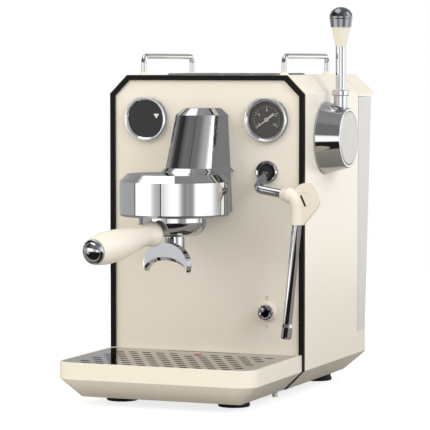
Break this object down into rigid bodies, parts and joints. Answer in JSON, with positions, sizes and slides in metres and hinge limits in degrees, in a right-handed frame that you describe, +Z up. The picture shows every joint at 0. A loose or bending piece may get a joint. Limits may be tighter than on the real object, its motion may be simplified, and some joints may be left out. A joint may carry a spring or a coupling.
{
  "type": "pump espresso machine",
  "caption": "Table-top pump espresso machine with an eight-sided case, gauge, bayonet filter holder, steam wand, side brew lever, rear tank and drip tray.",
  "frame": {"origin": "on the standing surface, under the middle of the machine's outer box", "axes": "+X to the machine's right seen from its front, +Y from front to rear, +Z up"},
  "size_m": [0.2886, 0.5225, 0.464],
  "materials": {
    "cream_paint": "semi-gloss cream powder coat on sheet steel",
    "black_paint": "satin black coat on pressed steel",
    "chrome": "bright chrome plate",
    "mirror_steel": "polished stainless sheet",
    "dark_steel": "plain galvanised sheet",
    "cream_plastic": "moulded cream plastic, satin gloss",
    "tank_plastic": "frosted translucent plastic",
    "clear_window": "clear glass",
    "black_window": "smoked black window",
    "dial_grey": "dark grey printed dial",
    "white_paint": "matt white paint",
    "black_plastic": "moulded black plastic",
    "grey_plastic": "moulded grey plastic",
    "black_rubber": "moulded black rubber",
    "red_plastic": "red moulded plastic",
    "cast_aluminium": "die-cast aluminium",
    "plain_steel": "stainless steel",
    "brass": "turned brass",
    "board_green": "printed board"
  },
  "bodies": {
    "root": {"body_shell": "cream_paint", "front_frame": "black_paint", "front_panel": "cream_paint", "rear_bulkhead": "dark_steel", "base_plate": "dark_steel", "drip_housing": "cream_paint", "feet": "black_rubber", "foot_screws": "plain_steel", "drain_stub": "cream_plastic", "mains_inlet": "black_plastic", "warming_ribs": "chrome", "left_rail": "chrome", "right_rail": "chrome", "rail_ferrules": "cream_plastic", "gauge_bezel": "chrome", "gauge_case": "plain_steel", "gauge_dial": "dial_grey", "gauge_glass": "clear_window", "display_bezel": "chrome", "display_window": "black_window", "group_column": "chrome", "group_cover": "chrome", "brew_head": "cast_aluminium", "group_gasket": "black_rubber", "shower_screen": "plain_steel", "steam_socket": "chrome", "switch_bush": "cream_plastic", "switch_nut": "chrome", "switch_body": "black_plastic", "lever_bearing": "brass", "pump": "brass", "pump_mount": "black_rubber", "boiler": "cast_aluminium", "water_lines": "grey_plastic", "control_board": "board_green"},
    "needle": {"gauge_needle": "white_paint"},
    "lever": {"lever_hub": "chrome", "lever_badge": "plain_steel", "lever_axle": "plain_steel", "lever_rod": "chrome", "lever_grip": "cream_plastic", "lever_knob": "chrome"},
    "holder": {"filter_holder": "chrome", "filter_basket": "plain_steel", "basket_spring": "plain_steel", "crescent_spout": "chrome", "holder_handle": "cream_plastic", "handle_cap": "chrome"},
    "steam_arm": {"steam_pipe": "chrome"},
    "steam_wand": {"wand_grip": "cream_plastic", "wand_tube": "chrome", "wand_tip": "chrome"},
    "toggle": {"switch_bat": "chrome"},
    "tank": {"water_tank": "tank_plastic", "tank_valve": "black_plastic"},
    "lid": {"tank_lid": "cream_plastic"},
    "pan": {"drip_pan": "grey_plastic"},
    "grate": {"drip_grate": "mirror_steel"},
    "float": {"level_float": "red_plastic"}
  },
  "joints": [
    {"name": "needle_turn", "type": "hinge", "parent": "root", "child": "needle", "pos_m": [0.0582, -0.0007, 0.3298], "axis": [0, 1, 0], "range_deg": [0, 240], "stiffness_Nm_per_rad": 0.0002, "springref_deg": -20.05},
    {"name": "brew_lever", "type": "hinge", "parent": "root", "child": "lever", "pos_m": [0.1057, 0.0743, 0.307], "axis": [1, 0, 0], "range_deg": [0, 60]},
    {"name": "holder_turn", "type": "hinge", "parent": "root", "child": "holder", "pos_m": [-0.0193, -0.0977, 0.2095], "axis": [0, 0, 1], "range_deg": [-38, 8]},
    {"name": "steam_swing", "type": "hinge", "parent": "root", "child": "steam_arm", "pos_m": [0.0582, 0.0013, 0.2677], "axis": [0, 0, 1], "range_deg": [-28, 15]},
    {"name": "steam_tilt", "type": "hinge", "parent": "steam_arm", "child": "steam_wand", "pos_m": [0.11302, -0.04655, 0.24192], "axis": [0.9686, -0.2094, -0.134], "range_deg": [-60, 6]},
    {"name": "toggle_tip", "type": "hinge", "parent": "root", "child": "toggle", "pos_m": [0.0595, -0.0027, 0.1013], "axis": [1, 0, 0], "range_deg": [0, 26]},
    {"name": "tank_lift", "type": "slide", "parent": "root", "child": "tank", "axis": [0, 0, 1], "range_m": [0, 0.12]},
    {"name": "lid_open", "type": "hinge", "parent": "tank", "child": "lid", "pos_m": [-0.0193, 0.2609, 0.3531], "axis": [-1, 0, 0], "range_deg": [0, 100]},
    {"name": "pan_lift", "type": "slide", "parent": "root", "child": "pan", "axis": [0, 0, 1], "range_m": [0, 0.01]},
    {"name": "grate_lift", "type": "slide", "parent": "pan", "child": "grate", "axis": [0, 0, 1], "range_m": [0, 0.01]},
    {"name": "float_rise", "type": "slide", "parent": "pan", "child": "float", "axis": [0, 0, 1], "range_m": [0, 0.007]}
  ]
}
